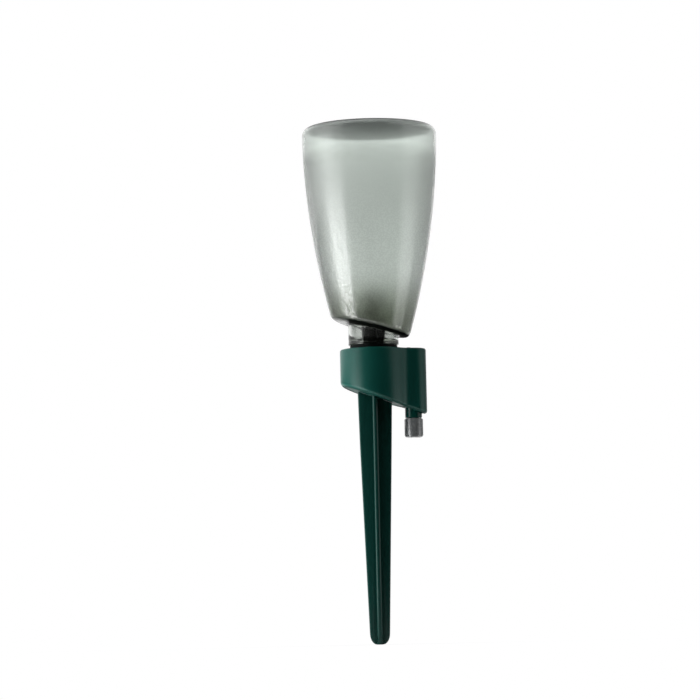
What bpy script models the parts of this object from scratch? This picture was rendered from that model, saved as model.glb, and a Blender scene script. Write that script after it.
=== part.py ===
# Drip watering spike, built in metres with +Z up.
# The origin is on the spike's axis at the soil line, and the outlet tail points along +X.
import math

import bmesh
import bpy
from mathutils import Matrix, Vector

MM = 0.001

# Clearances between pieces, and small softened edges
SOFT_EDGE = 0.4 * MM
BITE = 0.4 * MM
SEAT_GAP = 0.1 * MM
FIT_GAP = 0.25 * MM
THREAD_GAP = 0.4 * MM
FINE_THREAD_GAP = 0.3 * MM

# Regulator knob, needle, seat and nozzle, from the soil line up
SPIKE_DEPTH = 107.0 * MM
KNOB_CLEAR = 7.3 * MM
KNOB_LENGTH = 10.6 * MM
KNOB_FLOOR_THICK = 1.3 * MM
KNOB_WALL = 1.48 * MM
KNOB_RIB = 0.2 * MM
KNOB_RIBS = 24
KNOB_LEAD = 1.5 * MM
KNOB_TURNS = 2.0
DRIP_RADIUS = 0.5 * MM
DRIP_HOLES = 3
NEEDLE_RADIUS = 0.7 * MM
NEEDLE_LENGTH = 8.55 * MM
NEEDLE_FLANGE = 0.75 * MM
SEAT_THICK = 0.9 * MM
NOZZLE_STEM = 2.7 * MM
NOZZLE_BORE = 1.5 * MM
NOZZLE_SPIGOT = 3.0 * MM
FINE_THREAD = 0.7 * MM
FINE_THREAD_START = 0.5 * MM
GROOVE_CLEAR = 0.55 * MM
KNOB_OVERHANG = 0.45 * MM
GROOVE_DEPTH = 0.35 * MM
GROOVE_HEIGHT = 1.4 * MM
SHOULDER_SHOWN = 4.85 * MM
SHOULDER_SUNK = 4.0 * MM

TIP_Z = -SPIKE_DEPTH
KNOB_LOW = KNOB_CLEAR
KNOB_TOP = KNOB_LOW + KNOB_LENGTH
KNOB_FLOOR = KNOB_LOW + KNOB_FLOOR_THICK
NEEDLE_LOW = KNOB_FLOOR + SEAT_GAP
SEAT_LOW = NEEDLE_LOW + NEEDLE_FLANGE + SEAT_GAP
NOZZLE_LOW = SEAT_LOW + SEAT_THICK + SEAT_GAP
FINE_THREAD_Z = NOZZLE_LOW + FINE_THREAD_START
GROOVE_LOW = FINE_THREAD_Z + KNOB_TURNS * KNOB_LEAD + GROOVE_CLEAR
NOZZLE_CREST = NOZZLE_STEM + FINE_THREAD
KNOB_BORE = NOZZLE_CREST + FINE_THREAD_GAP
KNOB_CREST = NOZZLE_STEM + FINE_THREAD_GAP
KNOB_RADIUS = KNOB_BORE + KNOB_WALL
ORIFICE = NEEDLE_RADIUS + FINE_THREAD_GAP
NOZZLE_SHOULDER = KNOB_RADIUS - KNOB_OVERHANG
SHOULDER_LOW = KNOB_TOP + FIT_GAP
OUTLET_Z = SHOULDER_LOW + SHOULDER_SHOWN
SHOULDER_HIGH = OUTLET_Z + SHOULDER_SUNK

# Inlet strainer standing in the bottle's neck
STRAINER_RADIUS = 6.35 * MM
STRAINER_WALL = 1.15 * MM
STRAINER_HEIGHT = 42.0 * MM
STRAINER_DOME = 4.5 * MM
STRAINER_FLANGE = 1.0 * MM
STRAINER_SLOT = 1.9 * MM
STRAINER_SLOT_HEIGHT = 29.0 * MM
WATER_GAP = 2.45 * MM
SPIGOT_RADIUS = 5.2 * MM

# Bottle neck and its thread
FINISH_WALL = 1.6 * MM
THREAD_HEIGHT = 1.1 * MM
NECK_LEAD = 8.0 * MM
NECK_TURNS = 0.5
SOCKET_TURNS = 0.375
THREAD_STEPS = 32
NECK_THREAD_START = 1.8 * MM
THREAD_ROOT_HALF = 1.0 * MM
THREAD_CREST_HALF = 0.5 * MM
SEAL_WIDTH = 2.45 * MM
SEAL_THICK = 2.0 * MM
SEAL_INSET = 0.45 * MM
NECK_WALL = 1.5 * MM
NECK_ROOT = 1.0 * MM
NECK_LENGTH = 8.7 * MM
BORE_STEP = 1.0 * MM
BORE_RAMP = 2.2 * MM
LIP_CLEAR = 1.4 * MM

FINISH_BORE = STRAINER_RADIUS + WATER_GAP
FINISH_RADIUS = FINISH_BORE + FINISH_WALL
NECK_CREST = FINISH_RADIUS + THREAD_HEIGHT
SEAL_INNER = FINISH_RADIUS + FIT_GAP + SEAT_GAP
SEAL_OUTER = SEAL_INNER + SEAL_WIDTH
NECK_RADIUS = SEAL_OUTER + SEAL_INSET
SOCKET_BORE = NECK_CREST + THREAD_GAP
SOCKET_CREST = FINISH_RADIUS + THREAD_GAP
FEED_HOLE = SPIGOT_RADIUS + FIT_GAP

# Holder: collar round the socket, waist and round tail
SOCKET_WALL = 2.0 * MM
SOCKET_DEPTH = 10.0 * MM
SOCKET_FLOOR_THICK = 1.5 * MM
CHAMBER_GAP = 1.4 * MM
CHAMBER_WALL = 3.6 * MM
POCKET_WALL = 1.9 * MM
TAIL_REACH = 2.45 * MM
TAIL_WALL = 2.7 * MM
TAIL_HEIGHT = 34.0 * MM
POCKET_CLEAR = 0.7 * MM
BLOCK_HEIGHT = 18.0 * MM
COLLAR_HEIGHT = 26.95 * MM
UNDER_SLOPE = 0.351
ROOF_THICK = 2.4 * MM
TOP_EDGE = 1.1 * MM
UNDER_EDGE = 2.2 * MM

SOCKET_OUTER = SOCKET_BORE + SOCKET_WALL
COLLAR_RADIUS = SOCKET_OUTER + CHAMBER_GAP + CHAMBER_WALL
COUNTERBORE = NOZZLE_SHOULDER + FIT_GAP
TAIL_RADIUS = COUNTERBORE + TAIL_WALL
TAIL_X = COLLAR_RADIUS + TAIL_REACH
POCKET_END_X = TAIL_X - NOZZLE_SHOULDER - POCKET_CLEAR
CHAMBER_END_X = POCKET_END_X - (CHAMBER_WALL - POCKET_WALL)
BLOCK_TOP = OUTLET_Z + BLOCK_HEIGHT
HOLDER_TOP = OUTLET_Z + TAIL_HEIGHT
HOLDER_ROOF = HOLDER_TOP - ROOF_THICK
UNDER_Z = HOLDER_TOP - COLLAR_HEIGHT
SOCKET_FLOOR = HOLDER_TOP - SOCKET_DEPTH
SOCKET_FLOOR_LOW = SOCKET_FLOOR - SOCKET_FLOOR_THICK
LIP_Z = SOCKET_FLOOR + LIP_CLEAR
NECK_THREAD_Z = LIP_Z + NECK_THREAD_START
SEAL_LOW = HOLDER_TOP + SEAT_GAP
SEAL_HIGH = SEAL_LOW + SEAL_THICK
SHOULDER_Z = SEAL_HIGH + SEAT_GAP
STRAINER_LOW = SOCKET_FLOOR + SEAT_GAP
STRAINER_TOP = STRAINER_LOW + STRAINER_HEIGHT
STRAINER_BORE = STRAINER_RADIUS - STRAINER_WALL

# Reservoir bottle above the neck
RES_HEIGHT = 114.7 * MM
RES_SHELF = 7.65 * MM
RES_FLARE = 16.3 * MM
RES_FLARE_START = 0.156
RES_STRAIGHT = 8.0 * MM
RES_EDGE = 4.4 * MM
RES_WALL = 1.2 * MM
RIM_WIDTH = 2.7 * MM
DISH_SLOPE_WIDTH = 13.1 * MM
DISH_DEPTH = 2.8 * MM
CUT_SLOPE = 0.254
CUT_EDGE = 2.4 * MM
RES_SEGMENTS = 40

CUT_Z = SHOULDER_Z + NECK_LENGTH
RESERVOIR_TOP = CUT_Z + RES_HEIGHT
RES_CURVE_START = RESERVOIR_TOP - RES_STRAIGHT
RES_FOOT = NECK_RADIUS + RES_SHELF
RES_RADIUS = RES_FOOT + RES_FLARE
RIM_INNER = RES_RADIUS - RES_EDGE - RIM_WIDTH
DISH_RADIUS = RIM_INNER - DISH_SLOPE_WIDTH

# Cover plate under the holder, its gasket and the spike's cup
COVER_RECESS = 0.4 * MM
COVER_THICK = 2.0 * MM
GASKET_THICK = 0.9 * MM
CUP_WALL = 1.8 * MM
CUP_ROOF_THICK = 1.5 * MM
FEED_GAP = 2.5 * MM
PEG_RADIUS = 4.75 * MM

COVER_TOP = COVER_RECESS + COVER_THICK
GASKET_LOW = COVER_TOP + SEAT_GAP
GASKET_HIGH = GASKET_LOW + GASKET_THICK
POCKET_DEPTH = GASKET_HIGH + SEAT_GAP
CUP_INNER = PEG_RADIUS + FIT_GAP
CUP_OUTER = CUP_INNER + CUP_WALL
CUP_TOP = SOCKET_FLOOR_LOW - FEED_GAP
CUP_ROOF = CUP_TOP - CUP_ROOF_THICK
PEG_TOP = CUP_ROOF - FIT_GAP

# Spike blades
BLADE_TOP = 9.5 * MM
BLADE_LOW = 5.6 * MM
BLADE_END = 1.65 * MM
BLADE_HALF = 1.4 * MM
BLADE_NOSE = 1.1 * MM
NOSE_STEPS = 6
TIP_ROUND = 6.2 * MM

# Air valve in the roof of the tail
AIR_STEM = 0.9 * MM
AIR_CAP = 1.8 * MM
AIR_SKIRT = 2.9 * MM
AIR_BACK = 2.0 * MM
AIR_X = TAIL_X - AIR_BACK


# Clear the file
for old in list(bpy.data.objects):
    bpy.data.objects.remove(old, do_unlink=True)


def plastic(name, colour, roughness, alpha=1.0):
    """Return a Principled material for one piece."""
    mat = bpy.data.materials.new(name)
    mat.use_nodes = True
    bsdf = mat.node_tree.nodes["Principled BSDF"]
    bsdf.inputs["Base Color"].default_value = (colour[0], colour[1], colour[2], 1.0)
    bsdf.inputs["Roughness"].default_value = roughness
    bsdf.inputs["Alpha"].default_value = alpha
    return mat


def finish_mesh(bm, name):
    """Turn a bmesh into a closed object with its faces outward."""
    bmesh.ops.remove_doubles(bm, verts=bm.verts[:], dist=1e-7)
    bmesh.ops.recalc_face_normals(bm, faces=bm.faces[:])
    mesh = bpy.data.meshes.new(name)
    bm.to_mesh(mesh)
    bm.free()
    obj = bpy.data.objects.new(name, mesh)
    bpy.context.scene.collection.objects.link(obj)
    return obj


def bridge(bm, ring_a, ring_b):
    """Join two rings of vertices, where a ring of one vertex is a point."""
    count = max(len(ring_a), len(ring_b))
    for i in range(count):
        j = (i + 1) % count
        corners = []
        for vert in (ring_a[i % len(ring_a)], ring_a[j % len(ring_a)],
                     ring_b[j % len(ring_b)], ring_b[i % len(ring_b)]):
            if vert not in corners:
                corners.append(vert)
        if len(corners) > 2:
            bm.faces.new(corners)


def turned(name, profile, segments, axis_x=0.0, closed=True):
    """Turn a profile of radius and height points about a vertical axis."""
    bm = bmesh.new()
    rings = []
    for radius, z in profile:
        if radius < 1e-9:
            rings.append([bm.verts.new((axis_x, 0.0, z))])
            continue
        ring = []
        for i in range(segments):
            angle = 2.0 * math.pi * i / segments
            ring.append(bm.verts.new((axis_x + radius * math.cos(angle), radius * math.sin(angle), z)))
        rings.append(ring)
    for i in range(len(rings) - 1):
        bridge(bm, rings[i], rings[i + 1])
    if closed:
        bridge(bm, rings[-1], rings[0])
    return finish_mesh(bm, name)


def cylinder(name, radius, low, high, segments=40, axis_x=0.0):
    """Return a plain vertical cylinder."""
    profile = [(0.0, low), (radius, low), (radius, high), (0.0, high)]
    return turned(name, profile, segments, axis_x, closed=False)


def prism(name, outline, low, high):
    """Raise an outline between two height rules of x."""
    bm = bmesh.new()
    bottom = [bm.verts.new((x, y, low(x))) for x, y in outline]
    top = [bm.verts.new((x, y, high(x))) for x, y in outline]
    bridge(bm, bottom, top)
    bm.faces.new(bottom)
    bm.faces.new(top)
    return finish_mesh(bm, name)


def box(name, size, centre, turn=0.0):
    """Return a box turned about Z."""
    bm = bmesh.new()
    bmesh.ops.create_cube(bm, size=1.0)
    for vert in bm.verts:
        x = vert.co.x * size[0]
        y = vert.co.y * size[1]
        vert.co = Vector((centre[0] + x * math.cos(turn) - y * math.sin(turn),
                          centre[1] + x * math.sin(turn) + y * math.cos(turn),
                          centre[2] + vert.co.z * size[2]))
    return finish_mesh(bm, name)


def combine(target, tool, operation):
    """Apply one exact boolean and drop the tool object."""
    mod = target.modifiers.new("cut", 'BOOLEAN')
    mod.operation = operation
    mod.solver = 'EXACT'
    mod.object = tool
    tool.hide_render = True
    tool.display_type = 'WIRE'
    graph = bpy.context.evaluated_depsgraph_get()
    mesh = bpy.data.meshes.new_from_object(target.evaluated_get(graph))
    target.modifiers.clear()
    target.data = mesh
    bpy.data.objects.remove(tool, do_unlink=True)


def weld(obj):
    """Merge stray doubles after the booleans."""
    bm = bmesh.new()
    bm.from_mesh(obj.data)
    bmesh.ops.remove_doubles(bm, verts=bm.verts[:], dist=2e-6)
    bmesh.ops.dissolve_degenerate(bm, edges=bm.edges[:], dist=1e-6)
    bmesh.ops.recalc_face_normals(bm, faces=bm.faces[:])
    bm.to_mesh(obj.data)
    bm.free()


def helix(name, spec, start, turns, steps, axis_x=0.0):
    """Return one thread ridge that rises along a right-hand helix.

    spec holds root radius, crest radius, root half width, crest half width, lead and low height.
    """
    root, crest, root_half, crest_half, lead, low = spec
    bm = bmesh.new()
    rings = []
    count = int(turns * steps)
    for i in range(count + 1):
        angle = start + 2.0 * math.pi * i / steps
        z = low + lead * i / steps
        fade = min(1.0, 0.25 + 0.375 * min(i, count - i))
        reach = root + (crest - root) * fade
        ring = []
        for radius, shift in ((root, -root_half), (reach, -crest_half),
                              (reach, crest_half), (root, root_half)):
            x = axis_x + radius * math.cos(angle)
            ring.append(bm.verts.new((x, radius * math.sin(angle), z + shift)))
        rings.append(ring)
    for i in range(count):
        bridge(bm, rings[i], rings[i + 1])
    bm.faces.new(rings[0])
    bm.faces.new(rings[-1])
    return finish_mesh(bm, name)


def arc(centre, radius, begin, end, steps):
    """Return points on an arc, angles in radians, both ends kept."""
    points = []
    for i in range(steps + 1):
        angle = begin + (end - begin) * i / steps
        points.append((centre[0] + radius * math.cos(angle), centre[1] + radius * math.sin(angle)))
    return points


# Waist arcs that blend the collar into the tail
WAIST_RADIUS = ((TAIL_RADIUS ** 2 + TAIL_X ** 2 - COLLAR_RADIUS ** 2)
                / (2.0 * (COLLAR_RADIUS - TAIL_RADIUS)))
WAIST_Y = TAIL_RADIUS + WAIST_RADIUS
WAIST_ANGLE = math.atan2(WAIST_Y, TAIL_X)


def waist_angle(inset, x):
    """Return the angle on a waist arc at a given x."""
    return math.acos((x - TAIL_X) / (WAIST_RADIUS + inset))


def full_outline(inset):
    """Return the holder's whole outline, counter-clockwise, shrunk by inset."""
    join = math.pi - WAIST_ANGLE
    waist = WAIST_RADIUS + inset
    points = arc((0.0, 0.0), COLLAR_RADIUS - inset, WAIST_ANGLE, 2.0 * math.pi - WAIST_ANGLE, 36)
    points += arc((TAIL_X, -WAIST_Y), waist, join, math.pi / 2, 6)[1:]
    points += arc((TAIL_X, 0.0), TAIL_RADIUS - inset, -math.pi / 2, math.pi / 2, 14)[1:]
    points += arc((TAIL_X, WAIST_Y), waist, -math.pi / 2, -join, 6)[1:-1]
    return points


def clipped_outline(inset, stop_x):
    """Return the collar side of the outline, ended straight across at stop_x."""
    join = math.pi - WAIST_ANGLE
    waist = WAIST_RADIUS + inset
    end = waist_angle(inset, stop_x)
    points = arc((TAIL_X, WAIST_Y), waist, -end, -join, 3)
    points += arc((0.0, 0.0), COLLAR_RADIUS - inset, WAIST_ANGLE, 2.0 * math.pi - WAIST_ANGLE, 36)[1:-1]
    points += arc((TAIL_X, -WAIST_Y), waist, join, end, 3)
    return points


def under(x):
    """Return the height of the holder's slanted underside."""
    return UNDER_Z - UNDER_SLOPE * x


def res_radius(z):
    """Return the bottle's outer radius at a height."""
    t = max(0.0, (RES_CURVE_START - z) / (RES_CURVE_START - CUT_Z))
    return RES_RADIUS - RES_FLARE * (RES_FLARE_START * t + (1.0 - RES_FLARE_START) * t * t)


def cut_height(angle, inset, lift):
    """Return the height where the bottle's side meets its slanted cut."""
    z = CUT_Z + lift
    for _ in range(30):
        z = CUT_Z + lift - CUT_SLOPE * (res_radius(z) - inset) * math.cos(angle)
    return z


def bottle_side(inset, lift, edge, rows):
    """Return rings from the top edge down the side and around the slanted edge."""
    rings = []
    for row in range(rows + 1):
        ring = []
        for i in range(RES_SEGMENTS):
            angle = 2.0 * math.pi * i / RES_SEGMENTS
            low = cut_height(angle, inset, lift) + edge
            z = RES_CURVE_START + (low - RES_CURVE_START) * row / rows
            radius = res_radius(z) - inset
            ring.append((radius * math.cos(angle), radius * math.sin(angle), z))
        rings.append(ring)
    for k in range(1, 5):
        ring = []
        for i in range(RES_SEGMENTS):
            angle = 2.0 * math.pi * i / RES_SEGMENTS
            corner_z = cut_height(angle, inset, lift)
            corner_r = res_radius(corner_z) - inset
            start_r = res_radius(corner_z + edge) - inset
            end_r = corner_r - edge
            t = k / 4.0
            radius = (1 - t) ** 2 * start_r + 2 * t * (1 - t) * corner_r + t * t * end_r
            plane = CUT_Z + lift - CUT_SLOPE * end_r * math.cos(angle)
            z = (1 - t) ** 2 * (corner_z + edge) + 2 * t * (1 - t) * corner_z + t * t * plane
            ring.append((radius * math.cos(angle), radius * math.sin(angle), z))
        rings.append(ring)
    return rings


def flat_ring(radius, rule):
    """Return one ring of a given radius at a height rule of x."""
    ring = []
    for i in range(RES_SEGMENTS):
        angle = 2.0 * math.pi * i / RES_SEGMENTS
        x = radius * math.cos(angle)
        ring.append((x, radius * math.sin(angle), rule(x)))
    return ring


# Reservoir bottle, one closed skin from the dish down the outside and back up the inside
def make_bottle():
    rings = []
    rings.append(flat_ring(DISH_RADIUS, lambda x: RESERVOIR_TOP - DISH_DEPTH))
    rings.append(flat_ring(RIM_INNER, lambda x: RESERVOIR_TOP))
    for k in range(6):
        angle = math.pi / 2 * (1 - k / 5.0)
        radius = RES_RADIUS - RES_EDGE + RES_EDGE * math.cos(angle)
        height = RESERVOIR_TOP - RES_EDGE + RES_EDGE * math.sin(angle)
        rings.append(flat_ring(radius, lambda x, h=height: h))
    rings += bottle_side(0.0, 0.0, CUT_EDGE, 8)
    rings.append(flat_ring(NECK_RADIUS + NECK_ROOT, lambda x: CUT_Z - CUT_SLOPE * x))
    curl = 0.3 * NECK_ROOT
    rings.append(flat_ring(NECK_RADIUS + curl, lambda x: CUT_Z - CUT_SLOPE * x - curl))
    rings.append(flat_ring(NECK_RADIUS, lambda x: CUT_Z - CUT_SLOPE * x - NECK_ROOT))
    rings.append(flat_ring(NECK_RADIUS, lambda x: SHOULDER_Z + SOFT_EDGE))
    rings.append(flat_ring(NECK_RADIUS - SOFT_EDGE, lambda x: SHOULDER_Z))
    rings.append(flat_ring(FINISH_RADIUS, lambda x: SHOULDER_Z))
    rings.append(flat_ring(FINISH_RADIUS, lambda x: LIP_Z + SOFT_EDGE))
    rings.append(flat_ring(FINISH_RADIUS - SOFT_EDGE, lambda x: LIP_Z))
    rings.append(flat_ring(FINISH_BORE, lambda x: LIP_Z))
    rings.append(flat_ring(FINISH_BORE, lambda x: SHOULDER_Z + BORE_STEP))
    inner_neck = NECK_RADIUS - NECK_WALL
    rings.append(flat_ring(inner_neck, lambda x: SHOULDER_Z + BORE_STEP + BORE_RAMP))
    rings.append(flat_ring(inner_neck, lambda x: CUT_Z + RES_WALL - CUT_SLOPE * x))
    inner = bottle_side(RES_WALL, RES_WALL, 0.6 * CUT_EDGE, 5)
    inner.reverse()
    rings += inner
    edge = RES_EDGE - RES_WALL
    for k in range(4):
        angle = math.pi / 2 * k / 3.0
        radius = RES_RADIUS - RES_EDGE + edge * math.cos(angle)
        height = RESERVOIR_TOP - RES_EDGE + edge * math.sin(angle)
        rings.append(flat_ring(radius, lambda x, h=height: h))
    rings.append(flat_ring(RIM_INNER, lambda x: RESERVOIR_TOP - RES_WALL))
    rings.append(flat_ring(DISH_RADIUS, lambda x: RESERVOIR_TOP - DISH_DEPTH - RES_WALL))
    bm = bmesh.new()
    made = [[bm.verts.new(point) for point in ring] for ring in rings]
    for i in range(len(made) - 1):
        bridge(bm, made[i], made[i + 1])
    bm.faces.new(made[0])
    bm.faces.new(made[-1])
    bottle = finish_mesh(bm, "reservoir_bottle")
    spec = (FINISH_RADIUS - BITE, NECK_CREST, THREAD_ROOT_HALF, THREAD_CREST_HALF, NECK_LEAD, NECK_THREAD_Z)
    for start in (0.0, math.pi):
        combine(bottle, helix("neck_thread", spec, start, NECK_TURNS, THREAD_STEPS), 'UNION')
    weld(bottle)
    return bottle


# Seal ring under the shoulder
def make_seal():
    profile = [(SEAL_INNER, SEAL_LOW), (SEAL_OUTER - SOFT_EDGE, SEAL_LOW),
               (SEAL_OUTER, SEAL_LOW + SOFT_EDGE), (SEAL_OUTER, SEAL_HIGH - SOFT_EDGE),
               (SEAL_OUTER - SOFT_EDGE, SEAL_HIGH), (SEAL_INNER, SEAL_HIGH)]
    return turned("neck_seal_ring", profile, 40)


# Holder shell with a collar, a round tail, a threaded socket and an outlet bore
def make_holder():
    outline = full_outline(0.0)
    bm = bmesh.new()
    top = [bm.verts.new((x, y, HOLDER_TOP)) for x, y in outline]
    foot = [bm.verts.new((x, y, under(x))) for x, y in outline]
    bridge(bm, foot, top)
    bm.faces.new(top)
    bm.faces.new(foot)
    bmesh.ops.recalc_face_normals(bm, faces=bm.faces[:])
    for ring, width, steps in ((top, TOP_EDGE, 3), (foot, UNDER_EDGE, 4)):
        edges = [e for e in bm.edges if e.verts[0] in ring and e.verts[1] in ring]
        bmesh.ops.bevel(bm, geom=edges, offset=width, segments=steps, profile=0.5, affect='EDGES')
    holder = finish_mesh(bm, "holder_shell")
    pocket = prism("pocket", clipped_outline(POCKET_WALL, POCKET_END_X),
                   lambda x: under(x) - COLLAR_HEIGHT, lambda x: under(x) + POCKET_DEPTH)
    combine(holder, pocket, 'DIFFERENCE')
    chamber = prism("chamber", clipped_outline(CHAMBER_WALL, CHAMBER_END_X),
                    lambda x: under(x) + GASKET_LOW, lambda x: HOLDER_ROOF)
    combine(holder, chamber, 'DIFFERENCE')
    gallery = prism("gallery", full_outline(CHAMBER_WALL - SOFT_EDGE),
                    lambda x: BLOCK_TOP, lambda x: HOLDER_ROOF - SEAT_GAP)
    combine(holder, gallery, 'DIFFERENCE')
    vent = cylinder("air", AIR_STEM + FIT_GAP, HOLDER_ROOF - ROOF_THICK, HOLDER_TOP + ROOF_THICK, 16, AIR_X)
    combine(holder, vent, 'DIFFERENCE')
    tube = cylinder("tube", SOCKET_OUTER, SOCKET_FLOOR_LOW, HOLDER_TOP - 0.4 * ROOF_THICK)
    combine(holder, tube, 'UNION')
    combine(holder, cylinder("bore", SOCKET_BORE, SOCKET_FLOOR, HOLDER_TOP + ROOF_THICK), 'DIFFERENCE')
    feed = cylinder("feed", FEED_HOLE, SOCKET_FLOOR_LOW - FEED_GAP, SOCKET_FLOOR + FEED_GAP)
    combine(holder, feed, 'DIFFERENCE')
    spec = (SOCKET_BORE + BITE, SOCKET_CREST, THREAD_ROOT_HALF, THREAD_CREST_HALF, NECK_LEAD,
            NECK_THREAD_Z + 0.25 * NECK_LEAD)
    for start in (0.0, math.pi):
        combine(holder, helix("socket_thread", spec, start, SOCKET_TURNS, THREAD_STEPS), 'UNION')
    outlet = cylinder("outlet", NOZZLE_SPIGOT + FIT_GAP, SHOULDER_LOW, BLOCK_TOP + ROOF_THICK, 24, TAIL_X)
    combine(holder, outlet, 'DIFFERENCE')
    sink = cylinder("counterbore", COUNTERBORE, SHOULDER_LOW, SHOULDER_HIGH + SEAT_GAP, 24, TAIL_X)
    combine(holder, sink, 'DIFFERENCE')
    weld(holder)
    return holder


# Cover plate with a blind cup for the spike
def make_cover():
    cover = prism("base_cover", clipped_outline(POCKET_WALL + FIT_GAP, POCKET_END_X - FIT_GAP),
                  lambda x: under(x) + COVER_RECESS, lambda x: under(x) + COVER_TOP)
    circle = arc((0.0, 0.0), CUP_OUTER, 0.0, 2.0 * math.pi, 40)[:-1]
    cup = prism("cup", circle, lambda x: under(x) + COVER_RECESS + 0.25 * COVER_THICK, lambda x: CUP_TOP)
    combine(cover, cup, 'UNION')
    combine(cover, cylinder("hole", CUP_INNER, SHOULDER_LOW, CUP_ROOF, 40), 'DIFFERENCE')
    weld(cover)
    return cover


# Gasket between the cover plate and the holder
def make_gasket():
    outer = clipped_outline(POCKET_WALL + FIT_GAP, POCKET_END_X - FIT_GAP)
    inner = clipped_outline(CHAMBER_WALL, CHAMBER_END_X)
    bm = bmesh.new()
    rings = []
    for outline, lift in ((outer, GASKET_LOW), (outer, GASKET_HIGH),
                          (inner, GASKET_HIGH), (inner, GASKET_LOW)):
        rings.append([bm.verts.new((x, y, under(x) + lift)) for x, y in outline])
    for i in range(4):
        bridge(bm, rings[i], rings[(i + 1) % 4])
    return finish_mesh(bm, "cover_gasket")


# Spike with four blades and a round tip
def cross_ring(half):
    """Return the corners of the cross section, with a round nose on each blade."""
    thick = BLADE_HALF
    nose = min(BLADE_NOSE, 0.8 * (half - thick))
    corners = [(thick, -thick)]
    for k in range(NOSE_STEPS + 1):
        angle = math.pi * (k / NOSE_STEPS - 0.5)
        corners.append((half - nose + nose * math.cos(angle), thick * math.sin(angle)))
    points = []
    for turn in range(4):
        c = round(math.cos(turn * math.pi / 2))
        s = round(math.sin(turn * math.pi / 2))
        for a, b in corners:
            points.append((a * c - b * s, a * s + b * c))
    return points


def make_spike():
    bm = bmesh.new()
    rows = []
    high = under(BLADE_TOP) - 2.0 * BLADE_HALF
    low = TIP_Z + TIP_ROUND
    top = [(x, y, under(x) + COVER_RECESS - FIT_GAP) for x, y in cross_ring(BLADE_TOP)]
    rows.append(top)
    for k in range(1, 7):
        t = k / 6.0
        half = BLADE_TOP + (BLADE_LOW - BLADE_TOP) * t
        z = high + (low - high) * t
        rows.append([(x, y, z) for x, y in cross_ring(half)])
    for k in range(1, 6):
        angle = math.pi / 2 * k / 5.0
        half = BLADE_END + (BLADE_LOW - BLADE_END) * math.cos(angle)
        z = low - TIP_ROUND * math.sin(angle)
        rows.append([(x, y, z) for x, y in cross_ring(half)])
    made = [[bm.verts.new(point) for point in row] for row in rows]
    for i in range(len(made) - 1):
        bridge(bm, made[i], made[i + 1])
    bm.faces.new(made[0])
    bm.faces.new(made[-1])
    spike = finish_mesh(bm, "ground_spike")
    circle = arc((0.0, 0.0), PEG_RADIUS, 0.0, 2.0 * math.pi, 40)[:-1]
    peg = prism("peg", circle, lambda x: under(x), lambda x: PEG_TOP)
    combine(spike, peg, 'UNION')
    weld(spike)
    return spike


# Inlet strainer, a slotted basket with a round head
def make_strainer():
    bore = SPIGOT_RADIUS - 0.8 * STRAINER_WALL
    flange_top = STRAINER_LOW + STRAINER_FLANGE
    profile = [(bore, SOCKET_FLOOR_LOW - STRAINER_WALL), (SPIGOT_RADIUS, SOCKET_FLOOR_LOW - STRAINER_WALL),
               (SPIGOT_RADIUS, STRAINER_LOW), (FINISH_BORE - 2.0 * THREAD_GAP, STRAINER_LOW),
               (FINISH_BORE - 2.0 * THREAD_GAP, flange_top), (STRAINER_RADIUS, flange_top)]
    spring = STRAINER_TOP - STRAINER_DOME
    for k in range(5):
        angle = math.pi / 2 * k / 5.0
        profile.append((STRAINER_RADIUS * math.cos(angle), spring + STRAINER_DOME * math.sin(angle)))
    profile += [(0.0, STRAINER_TOP), (0.0, STRAINER_TOP - STRAINER_WALL),
                (0.7 * STRAINER_BORE, spring + 0.5 * (STRAINER_DOME - STRAINER_WALL)),
                (STRAINER_BORE, spring - STRAINER_WALL), (STRAINER_BORE, flange_top + 2.0 * STRAINER_WALL),
                (bore, flange_top + STRAINER_WALL)]
    strainer = turned("inlet_strainer", profile, 32)
    middle = 0.5 * (flange_top + spring)
    for k in range(4):
        slot = box("slot", (4.0 * STRAINER_RADIUS, STRAINER_SLOT, STRAINER_SLOT_HEIGHT), (0.0, 0.0, middle),
                   math.pi * (k + 0.25) / 4)
        combine(strainer, slot, 'DIFFERENCE')
    weld(strainer)
    return strainer


# Air valve, a rubber mushroom in the tail's roof
def make_air_valve():
    cap_low = HOLDER_TOP + SEAT_GAP
    skirt_top = HOLDER_ROOF - SEAT_GAP - FIT_GAP
    profile = [(0.0, cap_low + 0.8 * AIR_STEM), (0.7 * AIR_CAP, cap_low + 0.6 * AIR_STEM),
               (AIR_CAP, cap_low), (AIR_STEM, cap_low), (AIR_STEM, skirt_top), (AIR_SKIRT, skirt_top),
               (AIR_SKIRT, skirt_top - 0.5 * AIR_STEM), (AIR_STEM, skirt_top - 1.1 * AIR_STEM),
               (0.0, skirt_top - 1.3 * AIR_STEM)]
    return turned("air_valve", profile, 16, AIR_X, closed=False)


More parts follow.
